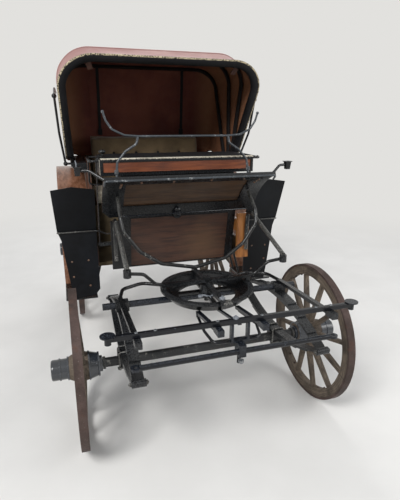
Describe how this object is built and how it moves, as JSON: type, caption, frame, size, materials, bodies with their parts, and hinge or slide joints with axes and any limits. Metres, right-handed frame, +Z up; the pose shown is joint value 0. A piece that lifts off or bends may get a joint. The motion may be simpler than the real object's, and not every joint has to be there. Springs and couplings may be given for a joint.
{
  "type": "horse drawn carriage",
  "caption": "Open horse-drawn carriage with a raised folding hood over the rear seat, a driver's box seat in front, spoked wooden wheels and a steered forecarriage on elliptic springs.",
  "frame": {"origin": "on the ground under the centre of the bounding box", "axes": "-Y is the front, +X is the carriage's left side, +Z is up"},
  "size_m": [1.698, 2.9182, 2.185],
  "materials": {
    "tyre_iron": "rusty",
    "wheel_wood": "weathered",
    "hub_iron": "worn",
    "hood_leather": "dusty",
    "black_leather": "matte",
    "varnished_wood": "worn varnish",
    "wing_varnish": "varnish",
    "cushion_cloth": "matte",
    "seat_cloth": "matte",
    "body_paint": "worn paint",
    "bow_wood": "matte",
    "draught_iron": "worn",
    "gear_iron": "worn"
  },
  "bodies": {
    "carriage": {"boot_box": "body_paint", "boot_frame": "body_paint", "brake_lever": "gear_iron", "dash_rail": "gear_iron", "driver_squab": "black_leather", "elbows": "body_paint", "guard_left": "black_leather", "guard_right": "black_leather", "guard_straps": "gear_iron", "hood_bows": "bow_wood", "hood_irons": "gear_iron", "hood_leather": "hood_leather", "hoop_iron": "gear_iron", "kingpin": "gear_iron", "lamp_brackets": "gear_iron", "planks": "body_paint", "rear_axle": "hub_iron", "rear_bed": "gear_iron", "rear_spring_left": "gear_iron", "rear_spring_right": "gear_iron", "rein_rail": "gear_iron", "seat_back": "seat_cloth", "seat_base": "body_paint", "seat_cushion": "cushion_cloth", "seat_frame": "body_paint", "seat_rails": "gear_iron", "steps": "gear_iron", "toe_frame": "body_paint", "top_bed": "gear_iron", "tub": "body_paint", "upper_ring": "gear_iron", "uprights": "gear_iron", "wing_left": "wing_varnish", "wing_right": "wing_varnish", "wood_panels": "varnished_wood"},
    "forecarriage": {"front_axle": "hub_iron", "front_spring_left": "gear_iron", "front_spring_right": "gear_iron", "bolster": "gear_iron", "lower_ring": "gear_iron", "futchells": "draught_iron", "braces": "gear_iron", "splinter_bar": "draught_iron", "pole_loop": "draught_iron", "evener_bar": "draught_iron"},
    "front_left_wheel": {"tyre_front_left": "tyre_iron", "wheel_front_left": "wheel_wood", "hub_front_left": "hub_iron"},
    "front_right_wheel": {"tyre_front_right": "tyre_iron", "wheel_front_right": "wheel_wood", "hub_front_right": "hub_iron"},
    "rear_left_wheel": {"tyre_rear_left": "tyre_iron", "wheel_rear_left": "wheel_wood", "hub_rear_left": "hub_iron"},
    "rear_right_wheel": {"tyre_rear_right": "tyre_iron", "wheel_rear_right": "wheel_wood", "hub_rear_right": "hub_iron"}
  },
  "joints": [
    {"name": "steer", "type": "hinge", "parent": "carriage", "child": "forecarriage", "pos_m": [0, -0.93613, 0.8142], "axis": [0, 0, 1], "range_deg": [-35, 35]},
    {"name": "front_left_wheel_spin", "type": "hinge", "parent": "forecarriage", "child": "front_left_wheel", "pos_m": [0.708, -0.89613, 0.423], "axis": [1, 0, 0], "continuous": true},
    {"name": "front_right_wheel_spin", "type": "hinge", "parent": "forecarriage", "child": "front_right_wheel", "pos_m": [-0.708, -0.89613, 0.423], "axis": [1, 0, 0], "continuous": true},
    {"name": "rear_left_wheel_spin", "type": "hinge", "parent": "carriage", "child": "rear_left_wheel", "pos_m": [0.648, 0.80387, 0.59], "axis": [1, 0, 0], "continuous": true},
    {"name": "rear_right_wheel_spin", "type": "hinge", "parent": "carriage", "child": "rear_right_wheel", "pos_m": [-0.648, 0.80387, 0.59], "axis": [1, 0, 0], "continuous": true}
  ]
}
